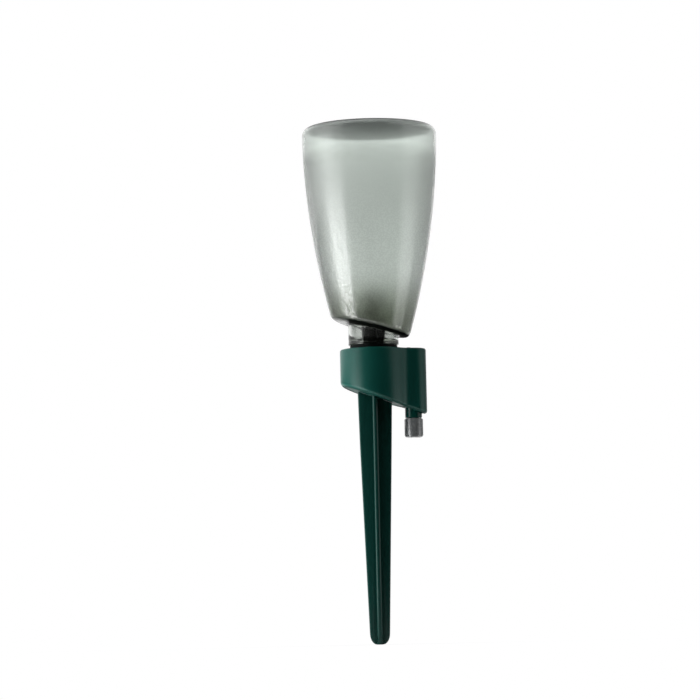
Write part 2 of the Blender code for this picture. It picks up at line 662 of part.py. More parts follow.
# Outlet nozzle with a threaded stem
def make_nozzle():
    groove = NOZZLE_STEM - GROOVE_DEPTH
    groove_high = GROOVE_LOW + GROOVE_HEIGHT
    profile = [(NOZZLE_BORE, BLOCK_TOP), (NOZZLE_SPIGOT, BLOCK_TOP), (NOZZLE_SPIGOT, SHOULDER_HIGH),
               (NOZZLE_SHOULDER, SHOULDER_HIGH), (NOZZLE_SHOULDER, SHOULDER_LOW + SOFT_EDGE),
               (NOZZLE_SHOULDER - SOFT_EDGE, SHOULDER_LOW), (NOZZLE_STEM, SHOULDER_LOW),
               (NOZZLE_STEM, groove_high), (groove, groove_high), (groove, GROOVE_LOW),
               (NOZZLE_STEM, GROOVE_LOW), (NOZZLE_STEM, NOZZLE_LOW), (ORIFICE, NOZZLE_LOW),
               (ORIFICE, FINE_THREAD_Z + KNOB_LEAD), (NOZZLE_BORE, FINE_THREAD_Z + KNOB_LEAD + SOFT_EDGE)]
    nozzle = turned("outlet_nozzle", profile, 24, TAIL_X)
    spec = (NOZZLE_STEM - 0.25 * FINE_THREAD, NOZZLE_CREST, 0.25 * KNOB_LEAD, 0.13 * KNOB_LEAD, KNOB_LEAD,
            FINE_THREAD_Z)
    combine(nozzle, helix("stem_thread", spec, 0.0, KNOB_TURNS, 20, TAIL_X), 'UNION')
    weld(nozzle)
    return nozzle


# Ring that seals the nozzle stem inside the knob
def make_o_ring():
    groove = NOZZLE_STEM - GROOVE_DEPTH
    middle = 0.5 * (groove + KNOB_BORE)
    radius = 0.5 * (KNOB_BORE - groove) - SEAT_GAP
    height = GROOVE_LOW + 0.5 * GROOVE_HEIGHT
    profile = []
    for k in range(8):
        angle = 2.0 * math.pi * k / 8
        profile.append((middle + radius * math.cos(angle), height + radius * math.sin(angle)))
    return turned("nozzle_o_ring", profile, 24, TAIL_X)


# Soft seat under the nozzle
def make_seat():
    outer = NOZZLE_STEM - FINE_THREAD_GAP
    high = SEAT_LOW + SEAT_THICK
    profile = [(ORIFICE, SEAT_LOW), (outer, SEAT_LOW), (outer, high), (ORIFICE, high)]
    return turned("valve_seat", profile, 24, TAIL_X)


# Needle that slides in the nozzle
def make_needle():
    flange = NOZZLE_STEM - THREAD_GAP
    high = NEEDLE_LOW + NEEDLE_FLANGE
    tip = high + NEEDLE_LENGTH
    profile = [(0.0, NEEDLE_LOW), (flange, NEEDLE_LOW), (flange, high), (NEEDLE_RADIUS, high),
               (NEEDLE_RADIUS, high + 0.75 * NEEDLE_LENGTH), (0.45 * NEEDLE_RADIUS, tip), (0.0, tip)]
    return turned("regulator_needle", profile, 16, TAIL_X, closed=False)


# Ribbed knob that screws on the nozzle stem
def make_knob():
    count = 2 * KNOB_RIBS
    rows = ((KNOB_RADIUS - 0.8 * KNOB_WALL, KNOB_LOW, 0.0),
            (KNOB_RADIUS - 0.3 * KNOB_WALL, KNOB_LOW + 0.25 * KNOB_WALL, 0.3),
            (KNOB_RADIUS, KNOB_LOW + 0.85 * KNOB_WALL, 1.0),
            (KNOB_RADIUS, KNOB_TOP - 0.5 * KNOB_WALL, 1.0),
            (KNOB_RADIUS - 0.12 * KNOB_WALL, KNOB_TOP - 0.12 * KNOB_WALL, 0.3),
            (KNOB_RADIUS - 0.35 * KNOB_WALL, KNOB_TOP, 0.0), (KNOB_BORE, KNOB_TOP, 0.0),
            (KNOB_BORE, KNOB_FLOOR, 0.0))
    bm = bmesh.new()
    rings = []
    for radius, z, ribs in rows:
        ring = []
        for i in range(count):
            angle = 2.0 * math.pi * i / count
            reach = radius - (KNOB_RIB * ribs if i % 2 else 0.0)
            ring.append(bm.verts.new((TAIL_X + reach * math.cos(angle), reach * math.sin(angle), z)))
        rings.append(ring)
    for i in range(len(rings) - 1):
        bridge(bm, rings[i], rings[i + 1])
    bm.faces.new(rings[0])
    bm.faces.new(rings[-1])
    knob = finish_mesh(bm, "regulator_knob")
    spec = (KNOB_BORE + 0.25 * FINE_THREAD, KNOB_CREST, 0.25 * KNOB_LEAD, 0.13 * KNOB_LEAD, KNOB_LEAD,
            FINE_THREAD_Z - 0.5 * KNOB_LEAD)
    combine(knob, helix("knob_thread", spec, 0.0, KNOB_TURNS, 20, TAIL_X), 'UNION')
    reach = KNOB_BORE - DRIP_RADIUS - THREAD_GAP
    for k in range(DRIP_HOLES):
        angle = 2.0 * math.pi * k / DRIP_HOLES
        hole = cylinder("drip", DRIP_RADIUS, KNOB_LOW - KNOB_FLOOR_THICK, KNOB_FLOOR + FIT_GAP, 10)
        hole.location = (TAIL_X + reach * math.cos(angle), reach * math.sin(angle), 0.0)
        bpy.context.view_layer.update()
        combine(knob, hole, 'DIFFERENCE')
    weld(knob)
    return knob


FROSTED = plastic("frosted_plastic", (0.62, 0.68, 0.64), 0.35, alpha=0.6)
SEAL_BLACK = plastic("seal_rubber", (0.012, 0.014, 0.014), 0.5)
GREEN_SHELL = plastic("green_shell", (0.006, 0.055, 0.042), 0.35)
GREEN_COVER = plastic("green_cover", (0.006, 0.055, 0.042), 0.4)
GREEN_SPIKE = plastic("green_spike", (0.004, 0.04, 0.03), 0.4)
GREEN_NOZZLE = plastic("green_nozzle", (0.004, 0.04, 0.03), 0.4)
GASKET_BLACK = plastic("gasket_rubber", (0.015, 0.015, 0.015), 0.6)
STRAINER_DARK = plastic("strainer_plastic", (0.006, 0.012, 0.008), 0.5)
VALVE_BLACK = plastic("valve_rubber", (0.015, 0.015, 0.015), 0.55)
RING_BLACK = plastic("ring_rubber", (0.015, 0.015, 0.015), 0.5)
SEAT_WHITE = plastic("seat_rubber", (0.6, 0.6, 0.58), 0.6)
NEEDLE_WHITE = plastic("needle_plastic", (0.75, 0.75, 0.72), 0.4)
KNOB_GREY = plastic("knob_plastic", (0.09, 0.098, 0.1), 0.38)

PIECES = ((make_bottle, FROSTED), (make_seal, SEAL_BLACK), (make_holder, GREEN_SHELL),
          (make_cover, GREEN_COVER), (make_gasket, GASKET_BLACK), (make_spike, GREEN_SPIKE),
          (make_strainer, STRAINER_DARK), (make_air_valve, VALVE_BLACK), (make_nozzle, GREEN_NOZZLE),
          (make_o_ring, RING_BLACK), (make_seat, SEAT_WHITE), (make_needle, NEEDLE_WHITE),
          (make_knob, KNOB_GREY))

for maker, material in PIECES:
    piece = maker()
    piece.data.materials.clear()
    piece.data.materials.append(material)
    for face in piece.data.polygons:
        face.material_index = 0
    piece.data.shade_smooth()
    piece.data.set_sharp_from_angle(angle=math.radians(30.0))
    if piece.name in ("regulator_needle", "regulator_knob"):
        piece.data.transform(Matrix.Translation((-TAIL_X, 0.0, 0.0)))
        piece.location.x = TAIL_X
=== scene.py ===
# %% [markdown]
# # A drip watering spike
# The real object is a frosted bottle that stands upside down on a green holder. The holder has a
# spike for the soil and a small grey knob that sets how fast the water drips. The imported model
# gives every piece its place, and this lesson dresses the pieces and lights them.

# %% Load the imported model
import math

import bmesh
import bpy
from mathutils import Matrix, Vector


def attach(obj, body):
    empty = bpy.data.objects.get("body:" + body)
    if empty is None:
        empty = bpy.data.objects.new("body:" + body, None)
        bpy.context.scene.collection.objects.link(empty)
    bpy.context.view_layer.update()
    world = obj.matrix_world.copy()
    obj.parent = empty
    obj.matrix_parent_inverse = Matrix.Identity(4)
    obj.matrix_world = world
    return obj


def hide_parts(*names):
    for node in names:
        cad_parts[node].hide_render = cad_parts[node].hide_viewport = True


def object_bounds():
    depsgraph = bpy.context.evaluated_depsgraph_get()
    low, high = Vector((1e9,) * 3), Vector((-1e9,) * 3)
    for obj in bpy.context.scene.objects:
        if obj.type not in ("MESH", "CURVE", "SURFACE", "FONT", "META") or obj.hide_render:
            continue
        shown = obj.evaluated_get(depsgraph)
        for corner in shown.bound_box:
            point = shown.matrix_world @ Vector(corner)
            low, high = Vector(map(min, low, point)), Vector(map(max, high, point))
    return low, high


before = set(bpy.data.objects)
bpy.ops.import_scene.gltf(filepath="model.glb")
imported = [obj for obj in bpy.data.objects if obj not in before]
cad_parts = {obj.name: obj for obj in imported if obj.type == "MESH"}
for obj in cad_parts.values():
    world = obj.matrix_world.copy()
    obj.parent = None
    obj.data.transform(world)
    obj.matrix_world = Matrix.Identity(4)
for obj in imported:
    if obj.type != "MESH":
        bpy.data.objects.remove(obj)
cad_low, cad_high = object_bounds()
MM = 0.001
print("CAD box", [round(x, 4) for x in cad_low], [round(x, 4) for x in cad_high])

# %% [markdown]
# ## Camera
# The photograph looks up from about the height of the spike's tip, with a long lens. The edges of
# the bottle and the holder bulge upwards for that reason, and the holder's underside shows. A camera
# on the long side of a gentle pitch gives the same view, and a small roll gives the same lean.

# %% Place the camera
CAMERA_AIM = Vector((-0.01325, 0.0, 0.0570))
CAMERA_DISTANCE = 1.77
CAMERA_PITCH = math.radians(5.2)
CAMERA_ROLL = math.radians(-1.24)
CAMERA_LENS = 163.8

camera = bpy.data.objects.new("camera", bpy.data.cameras.new("camera"))
bpy.context.scene.collection.objects.link(camera)
camera.data.lens = CAMERA_LENS
camera.data.sensor_width = 36.0
camera.data.clip_start = 0.05
camera.data.clip_end = 50.0
drop = CAMERA_DISTANCE * math.tan(CAMERA_PITCH)
turn = Matrix.Rotation(math.pi / 2 + CAMERA_PITCH, 4, 'X') @ Matrix.Rotation(CAMERA_ROLL, 4, 'Z')
camera.matrix_world = Matrix.Translation(CAMERA_AIM - Vector((0.0, CAMERA_DISTANCE, drop))) @ turn
bpy.context.scene.camera = camera
bpy.context.scene.view_settings.view_transform = 'Standard'
print("camera at", [round(x, 3) for x in camera.matrix_world.translation])

# %% [markdown]
# ## A short way to write shaders
# A shader is a sum of small steps, so it reads best as a sum. `Wire` stands for a socket, and adding
# or multiplying wires adds Math nodes. `Tree.add` makes any other node: its kind, its settings and
# what goes into its sockets.

# %% Wires and trees
class Wire:
    """A node socket that can be used in sums."""

    def __init__(self, tree, socket):
        self.tree = tree
        self.socket = socket

    def math(self, operation, first, second):
        """Return the wire of a Math node."""
        return self.tree.add('ShaderNodeMath', {'operation': operation}, {0: first, 1: second})

    def __add__(self, other):
        return self.math('ADD', self, other)

    def __radd__(self, other):
        return self.math('ADD', other, self)

    def __sub__(self, other):
        return self.math('SUBTRACT', self, other)

    def __rsub__(self, other):
        return self.math('SUBTRACT', other, self)

    def __mul__(self, other):
        return self.math('MULTIPLY', self, other)

    def __rmul__(self, other):
        return self.math('MULTIPLY', other, self)

    def span(self, low, high):
        """Return 0 below low, 1 above high and a smooth step between."""
        settings = {'interpolation_type': 'SMOOTHSTEP'}
        return self.tree.add('ShaderNodeMapRange', settings, {0: self, 1: low, 2: high})


class Tree:
    """The node tree of a material or of the world."""

    def __init__(self, owner):
        owner.use_nodes = True
        self.nodes = owner.node_tree.nodes
        self.links = owner.node_tree.links
        self.nodes.clear()

    def add(self, kind, settings=None, sockets=None, out=0):
        """Add a node and return the wire of one output, or the node where it has none."""
        node = self.nodes.new(kind)
        for key, value in (settings or {}).items():
            setattr(node, key, value)
        for key, value in (sockets or {}).items():
            if isinstance(value, Wire):
                self.links.new(value.socket, node.inputs[key])
            else:
                node.inputs[key].default_value = value
        return Wire(self, node.outputs[out]) if len(node.outputs) else node

    def place(self):
        """Return the wire of the object's own coordinates, in metres."""
        return self.add('ShaderNodeTexCoord', out='Object')

    def axis(self, name):
        """Return the wire of one of the object's own coordinates, in metres."""
        return self.add('ShaderNodeSeparateXYZ', None, {0: self.place()}, name)

    def noise(self, size, detail=2.0):
        """Return noise whose grains have about the given size in metres."""
        return self.add('ShaderNodeTexNoise', None,
                        {'Vector': self.place(), 'Scale': 1.0 / size, 'Detail': detail})

    def mix(self, share, first, second):
        """Return a colour between two others."""
        return self.add('ShaderNodeMix', {'data_type': 'RGBA'}, {0: share, 6: first, 7: second}, 2)

    def bump(self, relief, depth, strength=1.0):
        """Return a normal from a relief of the given depth in metres."""
        return self.add('ShaderNodeBump', None,
                        {'Height': relief, 'Distance': depth, 'Strength': strength})


def finish(name):
    """Return a new material and its tree."""
    material = bpy.data.materials.new(name + "_finish")
    return material, Tree(material)


def close_finish(tree, sockets):
    """End a material's tree in one Principled shader."""
    shader = tree.add('ShaderNodeBsdfPrincipled', None, sockets)
    tree.add('ShaderNodeOutputMaterial', None, {'Surface': shader})


def colour(red, green, blue):
    """Return a linear colour with full alpha."""
    return (red, green, blue, 1.0)


# %% [markdown]
# ## Light
# The photograph was lit by one broad white surface on the left, a faint one on the right, and little
# from the front. Soft lamps give that light. On the left two lamps share one place, and only the first
# passes the milky plastic, which would glow too much with both. What the glossy plastic mirrors is kept
# apart from the lamps: tall curved cards stand round the object, a bright strip on the left, a dim one
# on the right and darkness in front. Each strip fades upwards, because the tapering bottle mirrors the
# lower part. The bottle also shows the cards through its walls. The camera doesn't see them, and they
# throw no light of their own. Bearings turn from the camera, and left is less.

# %% World and lamps
WORLD_FILL = 0.04
MIDDLE = Vector((0.0, 0.0, 0.05))
LAMP_DISTANCE = 1.5
LEFT_LAMP_SIZE = (0.9, 1.6)

world = bpy.data.worlds.new("studio")
bpy.context.scene.world = world
air = Tree(world)
seen = air.add('ShaderNodeLightPath', out='Is Camera Ray')
shown = air.add('ShaderNodeLightPath', out='Is Glossy Ray')
through = air.add('ShaderNodeLightPath', out='Is Transmission Ray')
level = WORLD_FILL + (1.0 - WORLD_FILL) * (seen + shown + through)
sky = air.add('ShaderNodeBackground', None, {'Color': colour(1.0, 1.0, 1.0), 'Strength': level})
air.add('ShaderNodeOutputWorld', None, {'Surface': sky})


def bearing_point(bearing, rise, distance):
    """Return the place at a bearing and a rise, in degrees, round the object's middle."""
    turn = math.radians(bearing)
    tilt = math.radians(rise)
    out = distance * math.cos(tilt)
    return MIDDLE + Vector((out * math.sin(turn), -out * math.cos(turn), distance * math.sin(tilt)))


def soft_lamp(name, bearing, rise, size, level, passes=True):
    """Add an area lamp that gives the middle a level of light, and may pass the milky plastic."""
    data = bpy.data.lights.new(name, 'AREA')
    data.shape = 'RECTANGLE'
    data.size = size[0]
    data.size_y = size[1]
    data.energy = level * (math.pi * LAMP_DISTANCE) ** 2
    lamp = bpy.data.objects.new(name, data)
    bpy.context.scene.collection.objects.link(lamp)
    lamp.location = bearing_point(bearing, rise, LAMP_DISTANCE)
    lamp.rotation_euler = (MIDDLE - lamp.location).to_track_quat('-Z', 'Y').to_euler()
    lamp.visible_glossy = False
    lamp.visible_transmission = passes
    print(name, "at", [round(x, 2) for x in lamp.location])


soft_lamp("left_lamp", -84.0, 8.0, LEFT_LAMP_SIZE, 0.76)
soft_lamp("left_wash", -84.0, 8.0, LEFT_LAMP_SIZE, 0.72, passes=False)
soft_lamp("fill_lamp", -36.0, 10.0, (0.8, 1.2), 0.10)
soft_lamp("right_lamp", 70.0, 38.0, (0.6, 1.4), 0.22)
soft_lamp("top_lamp", -100.0, 72.0, (1.2, 1.2), 0.12)


# %% Floor
def stage_object(name, bm, material):
    """Add a mesh that belongs to the stage and not to the object."""
    mesh = bpy.data.meshes.new(name)
    bm.to_mesh(mesh)
    bm.free()
    mesh.materials.append(material)
    obj = bpy.data.objects.new(name, mesh)
    bpy.context.scene.collection.objects.link(obj)
    return obj


FLOOR_RADIUS = 0.22
FLOOR_GAP = 0.05 * MM
SHADE_REACH = 0.12

paper, tree = finish("floor_paper")
where = tree.add('ShaderNodeVectorMath', {'operation': 'LENGTH'}, {0: tree.place()}, 'Value')
fade = where.span(0.30 * FLOOR_RADIUS, 0.95 * FLOOR_RADIUS)
seen = tree.add('ShaderNodeLightPath', out='Is Camera Ray')
shade = tree.add('ShaderNodeAmbientOcclusion', {'samples': 16}, {'Distance': SHADE_REACH}, 'AO')
matte = tree.add('ShaderNodeBsdfDiffuse', None, {'Color': colour(0.86, 0.86, 0.86)})
white = tree.add('ShaderNodeEmission', None, {'Strength': 0.25 + 0.75 * shade})
sheet = tree.add('ShaderNodeMixShader', None, {0: seen, 1: matte, 2: white})
clear = tree.add('ShaderNodeBsdfTransparent')
from_below = tree.add('ShaderNodeNewGeometry', out='Backfacing')
gone = 1.0 - (1.0 - fade) * (1.0 - from_below)
edge = tree.add('ShaderNodeMixShader', None, {0: gone, 1: sheet, 2: clear})
tree.add('ShaderNodeOutputMaterial', None, {'Surface': edge})
bm = bmesh.new()
bmesh.ops.create_circle(bm, cap_ends=True, segments=96, radius=FLOOR_RADIUS)
floor = stage_object("floor", bm, paper)
floor.location.z = cad_low.z - FLOOR_GAP
print("floor at", round(floor.location.z, 5))


# %% Cards for reflections
CARD_DISTANCE = 2.6
STRIP_DISTANCE = 2.5
STRIP_FADE = (-0.85, 0.45)
STRIP_RISES = (-40.0, 55.0)
LOWEST = -85.0
HIGHEST = 85.0
CARD_RINGS = 12
CARD_STEPS = 24


def light_card(name, bearings, rises, shine, through, low_shine=None):
    """Spin a card with a level for reflections and one through the plastic; a strip fades upwards."""
    card, tree = finish(name)
    distance = CARD_DISTANCE
    if low_shine:
        distance = STRIP_DISTANCE
        shine = low_shine + (shine - low_shine) * tree.axis('Z').span(*STRIP_FADE)
    mirrored = tree.add('ShaderNodeLightPath', out='Is Glossy Ray')
    passed = tree.add('ShaderNodeLightPath', out='Is Transmission Ray')
    glow = tree.add('ShaderNodeEmission', None, {'Strength': shine * mirrored + through * passed})
    tree.add('ShaderNodeOutputMaterial', None, {'Surface': glow})
    bm = bmesh.new()
    line = []
    for k in range(CARD_RINGS + 1):
        rise = rises[0] + (rises[1] - rises[0]) * k / CARD_RINGS
        line.append(bm.verts.new(bearing_point(bearings[0], rise, distance)))
    edges = [bm.edges.new(pair) for pair in zip(line, line[1:])]
    bmesh.ops.spin(bm, geom=line + edges, cent=(0, 0, 0), axis=(0, 0, 1),
                   angle=math.radians(bearings[1] - bearings[0]), steps=CARD_STEPS)
    obj = stage_object(name, bm, card)
    obj.visible_camera = False
    obj.visible_diffuse = False
    obj.visible_shadow = False
    print(name, "from", bearings[0], "to", bearings[1])


light_card("front_card", (-46.0, 58.0), (-36.0, HIGHEST), 0.01, 0.5)
light_card("front_low_left", (-46.0, 6.0), (LOWEST, -36.0), 1.0, 0.5)
light_card("front_low_right", (6.0, 58.0), (LOWEST, -36.0), 0.4, 0.5)
light_card("right_card", (58.0, 148.0), (LOWEST, HIGHEST), 0.31, 0.86)
light_card("left_card", (-96.0, -46.0), (LOWEST, HIGHEST), 0.80, 0.50)
light_card("back_left_low", (-148.0, -96.0), (LOWEST, 2.0), 0.20, 0.3)
light_card("back_left_high", (-148.0, -96.0), (2.0, HIGHEST), 0.95, 0.3)
light_card("left_strip", (-86.0, -52.0), STRIP_RISES, 1.2, 1.0, low_shine=3.8)
light_card("right_strip", (64.0, 97.0), STRIP_RISES, 0.48, 1.0, low_shine=1.3)

# %% [markdown]
# ## Making a piece
# Most pieces are turned: a profile is spun about an upright axis. Every piece gets merged points,
# outward faces and smooth shading with crisp edges, rides on its body and may stand for a CAD node.

# %% Helpers for pieces
MERGE = 1e-7
CAD_MERGE = 1e-6


def lathe(profile, steps, axis_x=0.0, closed=False):
    """Spin a profile of radius and height points, in millimetres, about an upright axis."""
    bm = bmesh.new()
    points = [bm.verts.new((axis_x + r * MM, 0.0, z * MM)) for r, z in profile]
    edges = [bm.edges.new(pair) for pair in zip(points, points[1:])]
    if closed:
        edges.append(bm.edges.new((points[-1], points[0])))
    bmesh.ops.spin(bm, geom=points + edges, cent=(axis_x, 0, 0), axis=(0, 0, 1),
                   angle=2.0 * math.pi, steps=steps, use_merge=True)
    return bm


def dress(mesh, name, material, body, crisp):
    """Make a mesh a piece on a body, with its finish and smooth shading between crisp edges."""
    mesh.materials.clear()
    mesh.materials.append(material)
    mesh.shade_smooth()
    mesh.set_sharp_from_angle(angle=math.radians(crisp))
    obj = bpy.data.objects.new(name, mesh)
    bpy.context.scene.collection.objects.link(obj)
    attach(obj, body)
    print(name, len(mesh.polygons), "faces")
    return obj


def settle(bm, name, material, body, stands_for=None, crisp=35.0):
    """Turn a bmesh into a finished piece on a body."""
    bmesh.ops.remove_doubles(bm, verts=bm.verts[:], dist=MERGE)
    bmesh.ops.recalc_face_normals(bm, faces=bm.faces[:])
    mesh = bpy.data.meshes.new(name)
    bm.to_mesh(mesh)
    bm.free()
    obj = dress(mesh, name, material, body, crisp)
    if stands_for:
        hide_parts(stands_for)
    return obj


def soft_copy(node, name, material, body, crisp=35.0):
    """Copy a CAD node with merged points, so that its round faces shade smoothly."""
    bm = bmesh.new()
    bm.from_mesh(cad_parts[node].data)
    for layer in list(bm.loops.layers.float_vector.values()):
        bm.loops.layers.float_vector.remove(layer)
    bmesh.ops.remove_doubles(bm, verts=bm.verts[:], dist=CAD_MERGE)
    mesh = bpy.data.meshes.new(name)
    bm.to_mesh(mesh)
    bm.free()
    if "custom_normal" in mesh.attributes:
        mesh.attributes.remove(mesh.attributes["custom_normal"])
    obj = dress(mesh, name, material, body, crisp)
    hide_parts(node)
    return obj


def arc(centre, radius, begin, end, steps):
    """Return points on an arc, angles in degrees, both ends kept."""
    points = []
    for k in range(steps + 1):
        angle = math.radians(begin + (end - begin) * k / steps)
        points.append((centre[0] + radius * math.cos(angle), centre[1] + radius * math.sin(angle)))
    return points


# %% [markdown]
# ## Frosted plastic
# The bottle is milky clear plastic with a fine pebbled skin. Light passes and is blurred, so a rough
# transmission does it: the strainer inside shows only as a soft dark shape. The neck is clear, and so
# is part of the skin near the closed end, so two shaders are mixed, a frosted one and a clear one. The
# closed end is painted dark grey as painted shade. Along the folded lower edge by the neck the skin is
# painted darker and a black line is mixed in, both painted shade where the neck and holder keep light
# away.

# %% Where the bottle is thick, clear or pebbled
CUT_SLOPE = 0.254
BODY_START = (0.0672, 0.0705)
FOLD_START = (0.0655, 0.0661)
FOLD_END = (0.0694, 0.0699)
LINE_END = (0.0690, 0.0694)
LINE_LEFT = (-0.0160, -0.0125)
NECK_OUTSIDE = (0.0143, 0.0150)
FOOT = (0.070, 0.100)
PEBBLES_FADE = (0.110, 0.165)
SKIN_CLEARS = (0.156, 0.172)
DISH = (0.1758, 0.1772)
DISH_EDGE = (0.0305, 0.0325)
END_RIM = (0.1802, 0.1814)

frosted, tree = finish("frosted_plastic")
rise = tree.axis('Z')
side = tree.axis('X')
flat = tree.add('ShaderNodeVectorMath', {'operation': 'MULTIPLY'}, {0: tree.place(), 1: (1.0, 1.0, 0.0)})
reach = tree.add('ShaderNodeVectorMath', {'operation': 'LENGTH'}, {0: flat}, 'Value')
above_cut = rise + CUT_SLOPE * side
body_share = above_cut.span(*BODY_START)
foot_share = (1.0 - rise.span(*FOOT)) * body_share
# The closed end is painted dark grey: painted shade.
end_plate = rise.span(*DISH) * (1.0 - reach.span(*DISH_EDGE))
lid_share = 1.0 - (1.0 - end_plate) * (1.0 - rise.span(*END_RIM))
clear_share = 0.72 * rise.span(*SKIN_CLEARS)
# Near the cut by the neck the skin is painted darker and a black line runs along the edge: painted shade.
near_cut = above_cut.span(*FOLD_START) * (1.0 - above_cut.span(*FOLD_END))
under_share = near_cut * reach.span(*NECK_OUTSIDE)
painted_shadow_line = under_share * side.span(*LINE_LEFT) * (1.0 - above_cut.span(*LINE_END))
pebbled = body_share * (1.0 - 0.8 * rise.span(*PEBBLES_FADE))
print("places on the bottle", len(tree.nodes), "nodes")

# %% Frosted colour
GREYER_FROM = (0.100, 0.156)
GREYER_TO = (0.160, 0.171)
RIM_PALES = (0.163, 0.172)
PIT_EDGE = (0.47, 0.55)

pebble = tree.noise(0.85 * MM, 0.0)
grain = tree.noise(0.4 * MM, 1.0)
cloud = tree.noise(18.0 * MM, 2.0)
dots = pebble.span(*PIT_EDGE)
light = tree.mix(cloud, colour(0.612, 0.645, 0.620), colour(0.648, 0.682, 0.656))
tone = rise.span(*GREYER_FROM) * (1.0 - rise.span(*GREYER_TO))
thin = tree.mix(tone, light, colour(0.545, 0.575, 0.553))
rim = tree.mix(rise.span(*RIM_PALES), thin, colour(0.675, 0.710, 0.685))
pitted = tree.mix(pebbled * dots * 0.12, rim, colour(0.40, 0.43, 0.40))
thick = tree.mix(foot_share, pitted, colour(0.275, 0.305, 0.250))
neck = tree.mix(1.0 - body_share, thick, colour(0.40, 0.415, 0.40))
# The closed end gets a dark grey colour as painted shade.
lid = tree.mix(lid_share, neck, colour(0.088, 0.096, 0.092))
# The skin by the neck near the cut is painted darker: painted shade.
tint = tree.mix(under_share * 0.9, lid, colour(0.10, 0.11, 0.10))
print("frosted colour", len(tree.nodes), "nodes")

# %% Frosted shaders
GLOSS_FADES = (0.115, 0.172)
PLASTIC_IOR = 1.45

skin = tree.bump((pebble + 0.4 * grain) * pebbled, 0.12 * MM, 0.6)
glint = 1.0 - 0.75 * pebbled * dots
gloss = glint * (1.0 - 0.9 * rise.span(*GLOSS_FADES)) * (1.0 - lid_share) * (1.0 - under_share)
rough = 0.48 + 0.14 * foot_share + 0.06 * (pebble - 0.5)
milky = tree.add('ShaderNodeBsdfPrincipled', None, {
    'Base Color': tint, 'Roughness': rough, 'Normal': skin, 'IOR': PLASTIC_IOR,
    'Transmission Weight': 0.97, 'Coat Weight': gloss, 'Coat Roughness': 0.12, 'Coat IOR': 2.1})
glassy = tree.add('ShaderNodeBsdfPrincipled', None, {
    'Base Color': tint, 'Roughness': 0.06, 'IOR': PLASTIC_IOR, 'Transmission Weight': 1.0})
clear = (1.0 - body_share * (1.0 - clear_share)) * (1.0 - lid_share)
skin_mix = tree.add('ShaderNodeMixShader', None, {0: clear, 1: milky, 2: glassy})
# This black shader along the cut's edge by the neck is painted shade.
painted_shadow_black = tree.add('ShaderNodeBsdfPrincipled', None, {
    'Base Color': colour(0.003, 0.004, 0.003), 'Roughness': 0.8, 'Specular IOR Level': 0.05})
whole = tree.add('ShaderNodeMixShader', None, {0: painted_shadow_line, 1: skin_mix, 2: painted_shadow_black})
tree.add('ShaderNodeOutputMaterial', None, {'Surface': whole})
print("frosted finish", len(tree.nodes), "nodes")

# %% [markdown]
# ## Bottle
# The bottle is one skin: a dished closed end, a side that curves in, a slanted cut and a short neck
# with a threaded finish below it. A profile is spun level first. Then the lower rings are slid down
# the side until they lie on the slanted cut, and a Solidify modifier gives the wall. A vertex group
# makes the neck's wall thicker than the body's, as on a blown bottle, so its edges look darker.

# %% Bottle sizes in millimetres
TOP = 182.1
DISH_FLOOR = TOP - 2.8
DISH_FLAT = 17.0
DISH_RIM = 30.8
DISH_EASE = 0.12
RING = 10.0
RING_CREST = 0.4
RING_FOOT = 0.7
CURVE_START = 174.6
RADIUS = 37.6
FLARE = 16.3
FLARE_START = 0.156
EDGE = 4.4
CUT = 67.9
CUT_EDGE = 3.6
SOFT_START = 0.03
NECK = 14.0
NECK_ROOT = 1.0
SHOULDER = 59.2
FINISH = 10.4
LIP = 48.4
WALL = 1.2
NECK_WALL = 2.2
LIP_EDGE = 0.4
CUT_RING = 17.0
NECK_RING = 64.0
SLANT_START = SHOULDER + 1.0
NEAR = 1e-4
CORNER_TRIES = 30
BOTTLE_STEPS = 128
SIDE_RINGS = 40


def side_radius(z):
    """Return the bottle's outer radius at a height."""
    t = max(0.0, (CURVE_START - z) / (CURVE_START - CUT))
    start = FLARE_START * t * t / (t + SOFT_START)
    return RADIUS - FLARE * (start + (1.0 - FLARE_START) * t * t)


def cut_corner(cosine):
    """Return radius and height where the side meets the slanted cut."""
    z = CUT
    for _ in range(CORNER_TRIES):
        z = CUT - CUT_SLOPE * side_radius(z) * cosine
    return side_radius(z), z


def slant(r, z, cosine):
    """Slide a point of the level profile onto the slanted bottle."""
    if z >= CURVE_START or z <= SLANT_START:
        return r, z
    corner_r, corner_z = cut_corner(cosine)
    if z > CUT + CUT_EDGE - NEAR:
        share = (CURVE_START - z) / (CURVE_START - CUT - CUT_EDGE)
        z = CURVE_START + (corner_z + CUT_EDGE - CURVE_START) * share
        return side_radius(z), z
    if z > CUT - NECK_ROOT - NEAR:
        share = max(0.0, r - NECK) / (side_radius(CUT) - NECK)
        r = NECK + (corner_r - NECK) * share
        return r, z - CUT_SLOPE * r * cosine
    share = (z - SLANT_START) / (CUT - NECK_ROOT - SLANT_START)
    return r, z - CUT_SLOPE * r * cosine * share


def edge_curve(steps):
    """Return the rounded corner between the side and the level cut."""
    start = (side_radius(CUT + CUT_EDGE), CUT + CUT_EDGE)
    corner = (side_radius(CUT), CUT)
    end = (side_radius(CUT) - CUT_EDGE, CUT)
    points = []
    for k in range(1, steps + 1):
        t = k / steps
        weights = ((1 - t) ** 2, 2 * t * (1 - t), t * t)
        points.append(tuple(weights[0] * a + weights[1] * b + weights[2] * c
                            for a, b, c in zip(start, corner, end)))
    return points


print("bottle radius at the cut", round(side_radius(CUT), 2), "mm")

